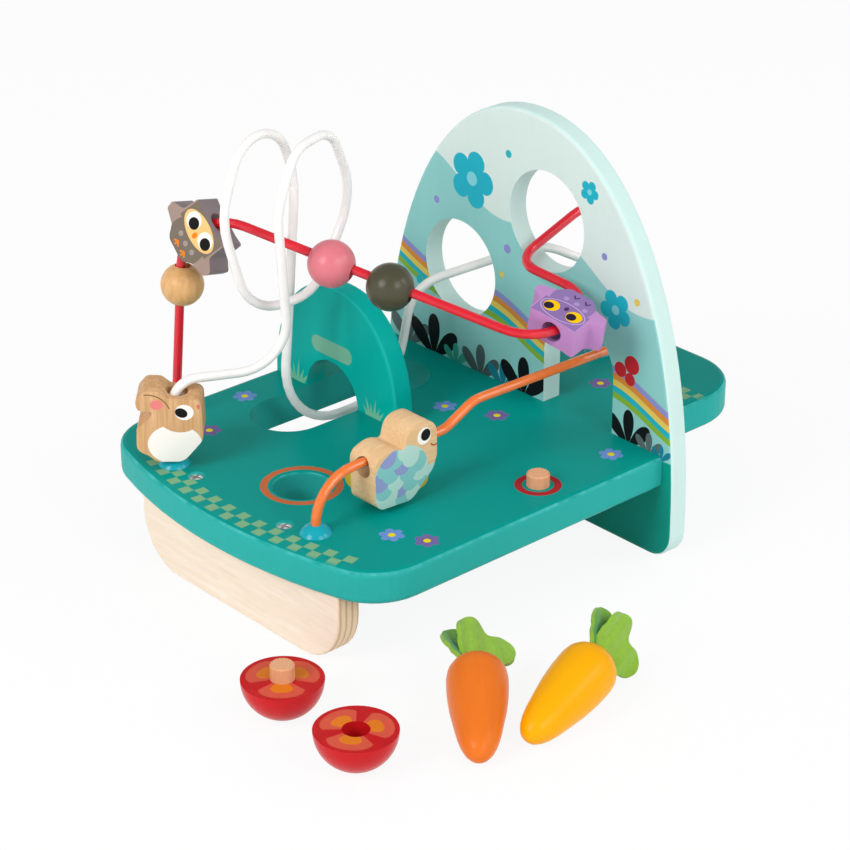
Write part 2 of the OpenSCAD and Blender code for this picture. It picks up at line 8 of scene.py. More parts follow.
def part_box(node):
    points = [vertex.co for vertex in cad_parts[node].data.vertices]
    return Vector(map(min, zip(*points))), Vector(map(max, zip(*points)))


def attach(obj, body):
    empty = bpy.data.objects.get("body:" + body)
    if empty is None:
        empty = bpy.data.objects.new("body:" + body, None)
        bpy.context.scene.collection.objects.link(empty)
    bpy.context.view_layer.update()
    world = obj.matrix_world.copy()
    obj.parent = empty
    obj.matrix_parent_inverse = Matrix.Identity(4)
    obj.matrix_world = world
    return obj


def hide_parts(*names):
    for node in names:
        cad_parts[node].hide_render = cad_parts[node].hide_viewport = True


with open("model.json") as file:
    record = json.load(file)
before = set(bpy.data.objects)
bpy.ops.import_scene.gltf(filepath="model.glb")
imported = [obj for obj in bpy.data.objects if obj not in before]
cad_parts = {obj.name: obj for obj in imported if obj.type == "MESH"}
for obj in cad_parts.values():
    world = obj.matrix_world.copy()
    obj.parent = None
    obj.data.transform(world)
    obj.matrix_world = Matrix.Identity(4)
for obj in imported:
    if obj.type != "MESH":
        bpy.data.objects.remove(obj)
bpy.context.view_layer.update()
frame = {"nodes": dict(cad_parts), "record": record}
nodes = frame["nodes"]
record = frame["record"]
bodyOf = {node: body for body, members in record["behaviour"]["bodies"].items() for node in members}
jointOf = {joint["name"]: joint for joint in record["behaviour"]["joints"]}
scene = bpy.context.scene
scene.view_settings.view_transform = "Standard"
print("frame loaded with", len(nodes), "nodes")

# camera

viewpoint = {
    "azimuth": 47.863,  # degrees round from the front
    "elevation": 26.365,
    "target": (-0.01825, -0.0614, 0.05194),
    "distance": 1.48214,
    "lens": 116.857,  # mm on a square sensor
    "sensor": 36.0,
}


def addCamera(plan):
    a, e = math.radians(plan["azimuth"]), math.radians(plan["elevation"])
    back = Vector((math.sin(a) * math.cos(e), -math.cos(a) * math.cos(e), math.sin(e)))
    data = bpy.data.cameras.new("camera")
    data.sensor_width = plan["sensor"]
    data.lens = plan["lens"]
    data.clip_end = 50.0
    camera = bpy.data.objects.new("camera", data)
    camera.location = Vector(plan["target"]) + back * plan["distance"]
    camera.rotation_euler = (-back).to_track_quat("-Z", "Y").to_euler()
    scene.collection.objects.link(camera)
    scene.camera = camera


addCamera(viewpoint)
print("camera set")

# shader writing


def linear(colour):  # a colour as written on screen, for the shader; a field stays as it is
    if isinstance(colour, Field):
        return colour
    parts = [int(colour[i:i + 2], 16) / 255 for i in (1, 3, 5)]
    return [c / 12.92 if c <= 0.04045 else ((c + 0.055) / 1.055) ** 2.4 for c in parts] + [1.0]


class Field:  # one socket, with arithmetic
    def __init__(self, finish, socket):
        self.finish, self.socket = finish, socket

    def calc(self, operation, *values, clamp=False):
        settings = {"operation": operation, "use_clamp": clamp}
        return self.finish.node("ShaderNodeMath", settings, dict(enumerate(values)))

    def __add__(self, other):
        return self.calc("ADD", self, other)

    def __radd__(self, other):
        return self.calc("ADD", other, self)

    def __sub__(self, other):
        return self.calc("SUBTRACT", self, other)

    def __rsub__(self, other):
        return self.calc("SUBTRACT", other, self)

    def __mul__(self, other):
        return self.calc("MULTIPLY", self, other)

    def __rmul__(self, other):
        return self.calc("MULTIPLY", other, self)

    def __truediv__(self, other):
        return self.calc("DIVIDE", self, other)

    def __pow__(self, other):
        return self.calc("POWER", self, other)

    def __mod__(self, other):
        return self.calc("FLOORED_MODULO", self, other)

    def __abs__(self):
        return self.calc("ABSOLUTE", self)

    def __or__(self, other):  # union of two masks
        return self.calc("MAXIMUM", self, other)

    def __and__(self, other):  # overlap of two masks
        return self.calc("MINIMUM", self, other)

    def clamped(self):
        return self.calc("ADD", self, 0.0, clamp=True)

    def swing(self, amount, base=1.0):  # a noise of 0 to 1 as a swing round a base
        return (self - 0.5) * amount + base


class Finish:  # one material
    def __init__(self, name, constants):
        self.material = bpy.data.materials.new(name)
        self.material.use_nodes = True
        self.tree = self.material.node_tree
        self.shader = self.tree.nodes["Principled BSDF"]
        for socket, value in constants.items():
            self.shader.inputs[socket].default_value = value

    def node(self, kind, settings=None, sockets=None, out=0):
        made = self.tree.nodes.new(kind)
        for key, value in (settings or {}).items():
            setattr(made, key, value)
        for key, value in (sockets or {}).items():
            if isinstance(value, Field):
                self.tree.links.new(value.socket, made.inputs[key])
            else:
                made.inputs[key].default_value = value
        return Field(self, made.outputs[out])

    def feed(self, **fields):  # baseColor, roughness and normal
        names = {"baseColor": "Base Color", "roughness": "Roughness", "normal": "Normal"}
        for key, field in fields.items():
            self.tree.links.new(field.socket, self.shader.inputs[names[key]])
        return self

    def fedColour(self):  # what the base colour takes so far
        return Field(self, self.shader.inputs["Base Color"].links[0].from_socket)

    def place(self, matrix=Matrix.Identity(4)):  # object coordinates in mm, in a local frame
        coords = self.node("ShaderNodeTexCoord", None, None, "Object")
        return self.node("ShaderNodeMapping", {"vector_type": "TEXTURE"},
                         {"Vector": coords, "Location": matrix.to_translation() / 1000,
                          "Rotation": matrix.to_euler("XYZ"), "Scale": (0.001, 0.001, 0.001)})

    def facing(self, matrix=Matrix.Identity(4)):  # surface normal in the same frame
        normal = self.node("ShaderNodeTexCoord", None, None, "Normal")
        turn = matrix.inverted().to_euler("XYZ")
        return self.split(self.node("ShaderNodeMapping", {"vector_type": "NORMAL"},
                                    {"Vector": normal, "Rotation": turn}))

    def split(self, vector):
        first = self.node("ShaderNodeSeparateXYZ", None, {0: vector})
        return [Field(self, socket) for socket in first.socket.node.outputs]

    def join(self, x, y, z):
        return self.node("ShaderNodeCombineXYZ", None, {0: x, 1: y, 2: z})

    def noise(self, vector, size, detail=2.0, rough=0.5):  # size in mm, the same or one for each axis
        sizes = size if isinstance(size, (list, tuple)) else (size, size, size)
        scaled = self.node("ShaderNodeVectorMath", {"operation": "DIVIDE"}, {0: vector, 1: sizes})
        return self.node("ShaderNodeTexNoise", None,
                         {"Vector": scaled, "Scale": 1.0, "Detail": detail, "Roughness": rough})

    def mix(self, mask, under, over):
        return self.node("ShaderNodeMix", {"data_type": "RGBA"},
                         {0: mask, 6: linear(under), 7: linear(over)}, 2)

    def shade(self, colour, amount):  # colour times a brightness field
        tint = self.join(amount, amount, amount)
        return self.node("ShaderNodeMix", {"data_type": "RGBA", "blend_type": "MULTIPLY"},
                         {0: 1.0, 6: linear(colour), 7: tint}, 2)

    def bump(self, height, depth):  # depth in mm
        return self.node("ShaderNodeBump", None,
                         {"Strength": 1.0, "Distance": depth / 1000, "Height": height})

    def within(self, distance, blur=0.2):  # 1 where a distance in mm is below zero
        return distance.calc("MULTIPLY_ADD", distance, -1 / blur, 0.5, clamp=True)


def hypot(u, v):
    return (u * u + v * v) ** 0.5


def sine(angle):
    return angle.calc("SINE", angle)


def aligned(x, y, at, turn):  # distances from a point along axes turned by some degrees
    c, s = math.cos(math.radians(turn)), math.sin(math.radians(turn))
    dx, dy = x - at[0], y - at[1]
    return dx * c + dy * s, dy * c - dx * s


def disc(f, x, y, at, radius):
    return f.within(hypot(x - at[0], y - at[1]) - radius)


def oval(f, x, y, at, radii, turn=0.0):
    u, v = aligned(x, y, at, turn)
    return f.within((hypot(u / radii[0], v / radii[1]) - 1.0) * min(radii))


def ring(f, x, y, at, radius, width):
    return f.within(abs(hypot(x - at[0], y - at[1]) - radius) - width / 2)


def box2(f, x, y, at, half, turn=0.0, blur=0.2, corner=0.0):
    across, along = aligned(x, y, at, turn)
    u = abs(across) - (half[0] - corner)
    v = abs(along) - (half[1] - corner)
    if corner:
        return f.within(hypot(u | 0.0, v | 0.0) - corner, blur)
    return f.within(u | v, blur)


def petals(f, x, y, at, radius, count, depth, turn, blur=0.25):
    dx, dy = x - at[0], y - at[1]
    angle = dy.calc("ARCTAN2", dy, dx)
    lobes = abs(angle.calc("COSINE", angle * (count / 2) + math.radians(turn))) ** 0.6
    return f.within(hypot(dx, dy) - radius * (1 - depth) - lobes * (radius * depth), blur)


print("shader tools ready")

# shared finishes and helpers

satin = {"Specular IOR Level": 0.06}  # paint and lacquer with little shine


def paintedWood(f, colour, where, grain, rough=0.36, peel=0.05, ghost=0.1):  # the grain shows faintly
    figure = f.noise(where, grain, 4.0, 0.6)
    cloud = f.noise(where, 38)
    skin = f.noise(where, 0.9)
    level = figure.swing(ghost) + cloud.swing(0.03, 0.0)
    f.feed(baseColor=f.shade(colour, level), roughness=cloud.swing(0.08, rough) + skin.swing(0.06, 0.0),
           normal=f.bump(skin * 0.5 + figure, peel))
    return f


def bareWood(f, tones, where, grain, rough=0.5, depth=0.05, contrast=1.0):  # rings and fine pores
    warp = f.noise(where, [g * 7 for g in grain])
    rings = f.noise(where, grain, 3.0)
    pores = f.noise(where, [g * 0.32 for g in grain], 2.0, 0.6)
    mask = (((rings + warp * 0.6) - 0.62) * (2.2 * contrast) + 0.4).clamped()
    level = 1.03 - ((pores - 0.56) * 2.2).clamped() * (0.2 * contrast)
    f.feed(baseColor=f.shade(f.mix(mask, tones[0], tones[1]), level), roughness=rings.swing(0.2, rough),
           normal=f.bump(rings + pores * 0.6, depth))
    return f


def wear(node, finish):  # a CAD node takes a finish
    data = nodes[node].data
    data.materials.clear()
    data.materials.append(finish.material)


def middle(node):  # centre of a CAD node's own box, in mm
    low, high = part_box(node)
    return (low + high) * 500


def spun(degrees, axis):
    return Matrix.Rotation(math.radians(degrees), 4, axis)


def turned(mid, x, y, z):  # a local frame from its place and its three directions
    matrix = Matrix((x, y, z)).transposed().to_4x4()
    matrix.translation = Vector(mid)
    return matrix


def standing(mid, heading):  # the frame of an upright piece, its x axis along a heading in degrees
    c, s = math.cos(math.radians(heading)), math.sin(math.radians(heading))
    return turned(mid, (c, s, 0), (0, 0, 1), (s, -c, 0))


def lathe(bm, profile, steps, at=(0, 0)):  # radius and height pairs, turned about an upright axis
    line = [bm.verts.new((at[0] + r, at[1], h)) for r, h in profile]
    edges = [bm.edges.new(pair) for pair in zip(line, line[1:])]
    bmesh.ops.spin(bm, geom=line + edges, cent=(at[0], at[1], 0), axis=(0, 0, 1),
                   angle=math.tau, steps=steps, use_merge=True)


def closeLathe(bm, matrix):  # millimetres become metres in the shared frame
    bmesh.ops.remove_doubles(bm, verts=bm.verts, dist=1e-4)
    bmesh.ops.transform(bm, matrix=Matrix.Scale(0.001, 4) @ matrix, verts=bm.verts)
    bmesh.ops.recalc_face_normals(bm, faces=bm.faces)
    return bm


def addPiece(name, bm, finish, node, smooth=32.0):  # a visual piece in place of a CAD node
    data = bpy.data.meshes.new(name)
    bm.to_mesh(data)
    bm.free()
    for face in data.polygons:
        face.use_smooth = True
    data.set_sharp_from_angle(angle=math.radians(smooth))
    data.materials.append(finish.material)
    piece = bpy.data.objects.new(name, data)
    scene.collection.objects.link(piece)
    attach(piece, bodyOf[node])
    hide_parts(node)
    return piece


# board

boardPaint = {
    "teal": "#00948B",
    # painted light: the same teal made lighter for the front-lit sides
    "side": "#2BAAA3",
    # painted highlight for the rounded rims of the board and the bridge
    "rimHighlight": "#4BB8B5",
    "grain": (46, 1.6, 5),
    "checker": {
        "ink": "#7DB085",
        "centre": (1.0, 80.0),  # of the bowed front edge, which the rows follow
        "radius": 290.3,
        "middle": 3.3,  # along the bow
        "half": 78.4,
        "rows": [(287.7, -51.3), (293.7, -57.1)],  # radius and the place of one square
        "pitch": 11.82,
        "cell": 2.95,  # half of a square
    },
    "squares": {"at": [(56.6, 61.1), (62.2, 55.6), (67.6, 61.1)], "half": (2.8, 2.8)},
    "flower": {"radius": 6.6, "petals": 6, "depth": 0.42, "heart": 1.9, "yellow": "#E9D516",
               "blue": "#6C90D2", "violet": "#74639F"},
    "flowers": [((-98, -121), "blue"), ((-78, -161), "violet"), ((73, -166), "blue"),
                ((89, -157), "violet"), ((-16, -49), "blue"), ((11, -36), "violet"),
                ((20, 33.5), "violet"), ((84, -23.6), "blue")],
    "rings": [((3, -165), 19.4, 3.7, "#C8693A"), ((25, -127), 19.4, 3.7, "#C9B330"),
              ((83, -75.5), 10.2, 3.9, "#A8242B")],  # place, radius, width and ink
}


def checkerRows(f, x, y, plan):
    dx, dy = x - plan["centre"][0], plan["centre"][1] - y
    out = hypot(dx, dy)
    along = dx.calc("ARCTAN2", dx, dy) * plan["radius"]
    span = f.within(abs(along - plan["middle"]) - plan["half"], 0.3)
    half = plan["pitch"] / 2
    masks = []
    for radius, start in plan["rows"]:
        cell = f.within(abs((along - start + half) % plan["pitch"] - half) - plan["cell"], 0.25)
        masks.append(cell & f.within(abs(out - radius) - plan["cell"], 0.25) & span)
    return masks[0] | masks[1]


def finishBoard(plan):
    f = Finish("tealBoardPaint", satin)
    where = f.place()
    x, y, _ = f.split(where)
    rise = f.facing()[2]
    top = f.within(0.96 - rise, 0.04)
    rim = f.within(abs(abs(rise) - 0.6) - 0.25, 0.2)
    # noise that breaks the painted rim highlight into patches
    rimPatches = f.noise(where, 7, 4.0)
    # painted light: faces that do not point up take the lighter teal of the front-lit sides
    colour = f.mix(f.within(abs(rise) - 0.6, 0.3), plan["teal"], plan["side"])
    # painted highlight along the rounded rims, in patches
    colour = f.mix(rim * ((rimPatches - 0.3) * 2.4).clamped(), colour, plan["rimHighlight"])
    colour = f.mix(checkerRows(f, x, y, plan["checker"]) & top, colour, plan["checker"]["ink"])
    for at in plan["squares"]["at"]:
        colour = f.mix(box2(f, x, y, at, plan["squares"]["half"]) & top, colour, plan["checker"]["ink"])
    flower = plan["flower"]
    for i, (at, ink) in enumerate(plan["flowers"]):
        bloom = petals(f, x, y, at, flower["radius"], flower["petals"], flower["depth"], 40 * i)
        colour = f.mix(bloom & top, colour, flower[ink])
        colour = f.mix(disc(f, x, y, at, flower["heart"]) & top, colour, flower["yellow"])
    for at, radius, width, ink in plan["rings"]:
        colour = f.mix(ring(f, x, y, at, radius, width) & top, colour, ink)
    paintedWood(f, colour, where, plan["grain"], rough=0.38, peel=0.006, ghost=0.04)
    wear("base_board", f)


finishBoard(boardPaint)

bridgePaint = {
    # the board's teal painted lighter: painted highlight for the front-lit face
    "teal": "#02B2A8",
    "rimHighlight": "#4BB8B5",
    "grain": (4, 30, 40),
    "pill": {"ink": "#7DBBA0", "at": (-64.7, 88.5), "half": (16.6, 4.75), "corner": 4.7},
    "grass": "#7CC5A5",
    "ground": 59.8,  # height that the grass grows from
    "tufts": [(-95.0, 1.1), (-31.2, 0.9)],  # place and size
    "blades": [(-4.6, -34, 7.5), (-3.0, -16, 12.5), (-1.2, -6, 9.5),
               (0.8, 7, 13.0), (2.6, 22, 9.5), (4.2, 40, 9.0)],  # foot, lean and height
}


def blade(f, x, z, root, lean, high, wide=1.5):  # one pointed grass blade
    across, along = aligned(x, z, root, -lean)
    return f.within(abs(across) + along * (wide / high) - wide, 0.3) & f.within(-1.0 - along, 0.3)


def finishBridge(plan):
    f = Finish("tealBridgePaint", satin)
    where = f.place()
    x, _, z = f.split(where)
    front = abs(f.facing()[1])
    face = f.within(0.9 - front, 0.05)
    rim = f.within(abs(front - 0.6) - 0.25, 0.3)
    pill = plan["pill"]
    # painted highlight along the rounded rims
    colour = f.mix(rim * 0.22, plan["teal"], plan["rimHighlight"])
    pillMask = box2(f, x, z, pill["at"], pill["half"], corner=pill["corner"])
    colour = f.mix(pillMask & face, colour, pill["ink"])
    for at, size in plan["tufts"]:
        for foot, lean, high in plan["blades"]:
            stalk = blade(f, x, z, (at + foot * size, plan["ground"]), lean, high * size)
            colour = f.mix(stalk & face, colour, plan["grass"])
    paintedWood(f, colour, where, plan["grain"])
    wear("bridge_arch", f)


finishBridge(bridgePaint)
print("board and bridge painted")

# arched panel

panelPrint = {
    "low": "#8FCBC8",
    "high": "#D6E6E1",
    "edge": "#CDE8E3",
    "below": "#0C9786",
    "board": 57.5,  # the panel is plain below this height
    "grain": (5, 30, 60),
    "hill": {"length": 16.13, "sway": 7.0, "height": 158.0, "slope": 0.22},
    "ripple": {"length": 15.0, "sway": 4.0, "height": 90.0, "slope": 0.16, "half": 1.8},
    "ribbons": [(0.0, "lime"), (3.6, "aqua"), (7.2, "sand"), (10.8, "rust"), (14.4, "lilac")],
    "bloom": {"petals": 5, "depth": 0.38, "heart": 0.24},
    "blooms": [((-42, 172), 16.5, 0), ((67, 131), 11.0, 60), ((46, 190), 6.5, 20)],  # place, size and turn
    "spots": [((-84, 100), 2.6, "aqua"), ((-14, 140), 2.6, "lilac"), ((-18, 124), 1.8, "sand"),
              ((44, 118), 2.0, "aqua"), ((-70, 152), 2.2, "lilac"), ((-14, 194), 2.2, "aqua"),
              ((82, 140), 2.0, "sand"), ((58, 158), 2.0, "lilac"),
              ((80, 104), 5.2, "berry"), ((72, 99), 4.2, "berry"), ((79, 95.5), 3.6, "berry")],
    "fan": {"leaves": 4.0, "spread": 1.18},
    "fans": [((-92, 58), 22, "slate"), ((-72, 57), 26, "black"), ((-54, 58), 13, "jade"),
             ((-34, 57), 20, "ash"), ((-16, 57), 16, "petrol"), ((0, 57), 24, "black"),
             ((79, 57), 21, "black"), ((94, 57), 13, "slate"), ((103, 57), 9, "petrol")],
    "inks": {"lime": "#86B13A", "aqua": "#28B0BE", "sand": "#E3C65A", "rust": "#D98A3C", "lilac": "#8C8FC9",
             "petal": "#23AEC3", "heart": "#7FD0DA", "berry": "#C22A33", "slate": "#5C6B6B",
             "black": "#15181A", "jade": "#39A592", "ash": "#4E5F60", "petrol": "#1F7F96"},
}


def leafFan(f, x, z, at, size, plan):
    dx, dz = x - at[0], z - at[1]
    lean = dx.calc("ARCTAN2", dx, dz)
    leaf = abs(lean.calc("COSINE", lean * plan["leaves"])) ** 0.5
    return f.within(hypot(dx, dz) - leaf * size, 0.5) & f.within(abs(lean) - plan["spread"], 0.05)


def finishPanel(plan):
    f = Finish("printedPanel", satin)
    where = f.place()
    x, _, z = f.split(where)
    face = f.within(0.9 - abs(f.facing()[1]), 0.06)
    hill, ripple, bloom, inks = plan["hill"], plan["ripple"], plan["bloom"], plan["inks"]
    crest = sine(x / hill["length"]) * hill["sway"] + hill["height"] - x * hill["slope"]
    colour = f.mix(f.within(crest - z, 0.8), plan["low"], plan["high"])
    wave = sine(x / ripple["length"]) * ripple["sway"] + x * ripple["slope"]
    for level, ink in plan["ribbons"]:
        ribbon = abs(z - ripple["height"] - level + wave) - ripple["half"]
        colour = f.mix(f.within(ribbon, 0.3), colour, inks[ink])
    for at, size, lean in plan["blooms"]:
        flower = petals(f, x, z, at, size, bloom["petals"], bloom["depth"], lean, 0.4)
        colour = f.mix(flower, colour, inks["petal"])
        colour = f.mix(disc(f, x, z, at, size * bloom["heart"]), colour, inks["heart"])
    for at, size, ink in plan["spots"]:
        colour = f.mix(disc(f, x, z, at, size), colour, inks[ink])
    for at, size, ink in plan["fans"]:
        colour = f.mix(leafFan(f, x, z, at, size, plan["fan"]), colour, inks[ink])
    colour = f.mix(f.within(z - plan["board"], 0.4), colour, plan["below"])
    colour = f.mix(face, plan["edge"], colour)
    paintedWood(f, colour, where, plan["grain"], rough=0.38, peel=0.04, ghost=0.05)
    wear("arch_panel", f)


finishPanel(panelPrint)
print("panel printed")

# bare plywood foot, dowels and screws

footPly = {
    "face": ("#F5E8DA", "#EEDCC8"),
    "plies": ("#F4DDBE", "#B08A5C"),
    "grain": (34, 2.0, 3.2),
    "fibre": (1.2, 0.5, 1.2),
    "layer": 1.9,  # thickness of one ply
    "shift": 400.0,  # of the plies across the plank
}


def finishFoot(plan):
    f = Finish("clearPlywood", satin)
    where = f.place()
    y = f.split(where)[1]
    bareWood(f, plan["face"], where, plan["grain"], rough=0.46)
    wavy = f.noise(where, 30)
    thick = plan["layer"]
    layer = f.within(abs((y + wavy * 0.8 + plan["shift"]) % (thick * 2) - thick) - thick * 0.3, 0.7)
    fibre = f.noise(where, plan["fibre"], 3.0)
    plies = f.shade(f.mix(layer * 0.55, plan["plies"][0], plan["plies"][1]), fibre * 0.2 + 0.9)
    f.feed(baseColor=f.mix(f.within(abs(f.facing()[1]) - 0.7, 0.1), f.fedColour(), plies))
    wear("front_foot", f)


finishFoot(footPly)

dowelWood = {
    "tones": ("#EBB48C", "#D2936A"),
    "grain": (1.4, 1.4, 14.0),
    "heart": (-3.5, 2.0),  # of the growth rings, off the dowel's axis
    "rings": 4.2,  # radians for each mm
}


def finishDowel(plan, node):
    f = Finish("turnedBeech_" + node, satin)
    where = f.place()
    x, y, _ = f.split(where)
    bareWood(f, plan["tones"], where, plan["grain"], rough=0.55, depth=0.04, contrast=0.6)
    at = middle(node)
    out = hypot(x - at.x - plan["heart"][0], y - at.y - plan["heart"][1]) + f.noise(where, 4) * 1.5
    rings = sine(out * plan["rings"]) * 0.5 + 0.5
    end = f.mix(rings * 0.8, plan["tones"][0], plan["tones"][1])
    f.feed(baseColor=f.mix(f.within(0.8 - f.facing()[2], 0.1), f.fedColour(), end))
    wear(node, f)


for node in ("base_peg", "tomato_dowel"):
    finishDowel(dowelWood, node)

screwHead = {
    "places": [(-41.5, -198.3), (29.5, -198.3)],
    "radius": 4.5,
    "under": 57.6,  # heights of the head's flat underside and of its rim
    "rim": 58.1,
    "dome": 1.5,
    "slot": (3.1, 0.75),
    "turn": 20.0,
    "zinc": ("#DCDFE1", "#F4F5F6"),
    "shadow": "#9DA1A5",
}


def finishSteel(plan):
    f = Finish("zincSteel", {"Metallic": 0.65})
    where = f.place()
    x, y, _ = f.split(where)
    arms = [box2(f, x, y, at, half, plan["turn"], 0.25, 0.3)
            for at in plan["places"] for half in (plan["slot"], plan["slot"][::-1])]
    cross = f.within(0.3 - f.facing()[2], 0.1) & (arms[0] | arms[1] | arms[2] | arms[3])
    grind = f.noise(where, 0.5, 3.0)
    colour = f.mix(cross, f.mix(grind, plan["zinc"][0], plan["zinc"][1]), plan["shadow"])
    return f.feed(baseColor=colour, roughness=grind * 0.2 + 0.22, normal=f.bump(1.0 - cross, 0.5))


def screwHeads(plan):
    bm = bmesh.new()
    dome = [(plan["radius"] * math.cos(a), plan["rim"] + plan["dome"] * math.sin(a))
            for a in [math.radians(15 * step) for step in range(6)]]
    under = [(0.0, plan["under"]), (plan["radius"], plan["under"])]
    profile = under + dome + [(0.0, plan["rim"] + plan["dome"])]
    for at in plan["places"]:
        lathe(bm, profile, 40, at)
    return closeLathe(bm, Matrix.Identity(4))


addPiece("domed_screws", screwHeads(screwHead), finishSteel(screwHead), "foot_screws")
print("foot, dowels and screws done")

# wires and collars

wireCoats = {"white_wire": "#F8F5F3", "red_wire": "#D9152B", "orange_wire": "#F07830"}


def finishWire(node, colour):
    f = Finish("glossCoat_" + node, {"Coat Weight": 0.25, "Coat Roughness": 0.08})
    where = f.place()
    flow = f.noise(where, 9, 3.0)
    peel = f.noise(where, 1.3)
    f.feed(baseColor=f.shade(colour, flow.swing(0.1)), roughness=flow * 0.14 + 0.17,
           normal=f.bump(peel, 0.03))
    wear(node, f)


for node, colour in wireCoats.items():
    finishWire(node, colour)

collarPlastic = {"blue": "#10A4B5", "scuffs": (2.5, 2.5, 0.5)}


def finishCollars(plan):
    f = Finish("glossCollarPlastic", {"Specular IOR Level": 0.3})
    scuff = f.noise(f.place(), plan["scuffs"], 4.0, 0.65)
    f.feed(baseColor=f.shade(plan["blue"], scuff.swing(0.1)), roughness=scuff * 0.12 + 0.16,
           normal=f.bump(scuff, 0.008))
    for node in nodes:
        if node.endswith("collar"):
            wear(node, f)


finishCollars(collarPlastic)
print("wires coated")

# beads

beadPaint = {
    "natural_bead": {"wood": ("#EBBE86", "#D29F63"), "grain": (1.5, 26.0, 2.2)},
    "pink_bead": {"paint": "#DC7883", "grain": (1.5, 16.0, 2.5)},
    "olive_bead": {"paint": "#4B4937", "grain": (1.5, 16.0, 2.5)},
}


def finishBead(node, plan):  # the grain runs along the bead's bore
    f = Finish("finish_" + node, {"Specular IOR Level": 0.3})
    bore = Vector(jointOf[node + "_slide"]["axis"])
    local = bore.to_track_quat("Y", "Z").to_matrix().to_4x4()
    local.translation = middle(node)
    where = f.place(local)
    if "wood" in plan:
        bareWood(f, plan["wood"], where, plan["grain"], rough=0.36, depth=0.03, contrast=0.7)
    else:
        paintedWood(f, plan["paint"], where, plan["grain"], rough=0.3, peel=0.04, ghost=0.09)
    wear(node, f)


for node, plan in beadPaint.items():
    finishBead(node, plan)
print("beads finished")

# threaded animals

animalEdge = {"bevel": 0.9, "segments": 3, "sharp": 38.0}


def mergedCopy(node):  # the CAD solid with its flat faces whole
    bm = bmesh.new()
    bm.from_mesh(nodes[node].data)
    bmesh.ops.remove_doubles(bm, verts=bm.verts, dist=2e-6)
    bmesh.ops.dissolve_limit(bm, angle_limit=math.radians(0.5), verts=bm.verts, edges=bm.edges)
    return bm


def easeEdges(bm, plan):
    sharp = [e for e in bm.edges if len(e.link_faces) == 2 and e.is_convex
             and e.calc_face_angle(0.0) > math.radians(plan["sharp"])]
    bmesh.ops.bevel(bm, geom=sharp, offset=plan["bevel"] / 1000, offset_type="OFFSET", affect="EDGES",
                    segments=plan["segments"], profile=0.5, material=-1, clamp_overlap=True)
    bmesh.ops.triangulate(bm, faces=[face for face in bm.faces if len(face.verts) > 4])


def faceOf(f, matrix):  # place in an animal's frame, with a mask for its two broad sides
    where = f.place(matrix)
    x, y, _ = f.split(where)
    return where, x, y, f.within(0.8 - abs(f.facing(matrix)[2]), 0.1)


def eyes(f, colour, x, y, face, plan):
    for at in plan["at"]:
        pupil = (at[0] + plan["shift"][0], at[1] + plan["shift"][1])
        colour = f.mix(disc(f, x, y, at, plan["radius"]) & face, colour, plan["white"])
        colour = f.mix(disc(f, x, y, pupil, plan["pupil"]) & face, colour, plan["iris"])
    return colour


def toes(f, colour, x, y, face, plan):
    for foot in plan["at"]:
        for lean in plan["leans"]:
            a, reach = math.radians(lean), plan["reach"]
            toe = (foot[0] + reach * math.sin(a), foot[1] + plan["lift"] - reach * math.cos(a))
            colour = f.mix(box2(f, x, y, toe, plan["half"], lean) & face, colour, plan["ink"])
    return colour


def rideFrame(plan):  # an owl's own frame on its bend
    joint = jointOf[plan["joint"]]
    mid, axis = Vector(plan["mid"]), Vector(joint["axis"]).normalized()
    out = mid - Vector(joint["pos_m"]) * 1000
    out = (out - axis * out.dot(axis)).normalized()
    along = axis.cross(out) * plan["flip"]
    return turned(mid, along.cross(out), along, out) @ spun(90 - plan["turn"], "Y")


owlPaint = {
    "body": ((0, -4.5), (12.4, 13.5)),  # an oval below and a box above make the front
    "chest": ((0, 8), (13.6, 8)),
    "spot": 1.5,
    "grain": (2, 22, 4),
    "grey_owl": {
        "name": "greyOwlPaint", "joint": "grey_owl_ride",
        "mid": (-91.75, -150.74, 163.99), "turn": 19, "flip": 1,
        "side": "#8C7F82", "wings": "#A38D82", "front": "#7A6F63",
        "ovals": [((0, 5), (12.8, 7.1), "#EFC57F")],
        "eyes": {"at": [(-6.3, 5.4), (6.3, 5.4)], "white": "#FBF7EE", "iris": "#1C1A1A",
                 "radius": 4.7, "pupil": 3.3, "shift": (1.3, -0.9)},
        "beak": ((0.4, 1.5), (1.4, 1.9), "#EE8420"),
        "spots": [(-5, -5.2), (0.9, -5.7), (6.8, -4.8)], "spotInk": "#A1938B",
        "toes": {"at": [(-2.4, -9.6), (4.4, -9.6)], "leans": (-48, 0, 48), "reach": 1.5, "lift": 0.9,
                 "half": (0.5, 1.5), "ink": "#EE8420"},
    },
    "purple_owl": {
        "name": "purpleOwlPaint", "joint": "purple_owl_ride",
        "mid": (64.91, -40.0, 135.11), "turn": 14, "flip": -1,
        "side": "#C08AC4", "wings": "#BA8AC1", "front": "#8E73AB",
        "ovals": [((0, 4.8), (13.0, 7.3), "#C9A8DA"), ((0, 4.8), (12.5, 6.8), "#8A6FA6")],
        "eyes": {"at": [(-6.9, 4.7), (6.9, 4.7)], "white": "#F5C400", "iris": "#2A1D38",
                 "radius": 4.3, "pupil": 2.7, "shift": (1.2, 0.8)},
        "beak": ((-0.4, 1.9), (1.2, 1.7), "#4A3560"),
        "spots": [(4.5, -5), (-2, -5), (-8, -3.4)], "spotInk": "#A78DC2",
        "toes": {"at": [(1.0, -8.6), (-6.0, -8.2)], "leans": (-38, 38), "reach": 1.2, "lift": 0.8,
                 "half": (0.42, 1.5), "ink": "#4A3560"},
    },
}


